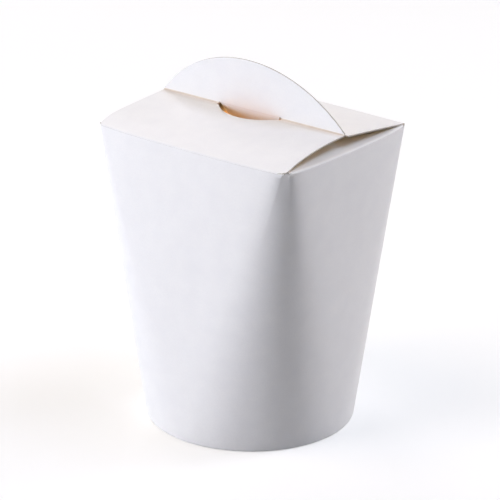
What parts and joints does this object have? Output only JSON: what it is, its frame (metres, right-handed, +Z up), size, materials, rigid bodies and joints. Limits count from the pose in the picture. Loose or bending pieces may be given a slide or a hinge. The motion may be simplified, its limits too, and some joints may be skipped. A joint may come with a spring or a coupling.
{
  "type": "noodle takeaway box",
  "caption": "Shut paperboard takeaway box: round foot, walls opening out to an oblong top, folded lid flaps and a half-round carrying tab standing along the ridge.",
  "frame": {"origin": "middle of the foot, on the surface the box stands on", "axes": "+Z up the box; +X along the long side of the top and the lid's ridge; -Y out of the front, the side whose lid flap carries the tab"},
  "size_m": [0.0816, 0.072, 0.1266],
  "materials": {
    "white_board": "matt white coated food board",
    "base_board": "matt cream uncoated side of the board"
  },
  "bodies": {
    "root": {"carton_body": "white_board", "base_disc": "base_board", "side_flap_left": "white_board", "side_flap_right": "white_board", "rear_lid_flap": "white_board", "front_lid_flap": "white_board"}
  },
  "joints": []
}
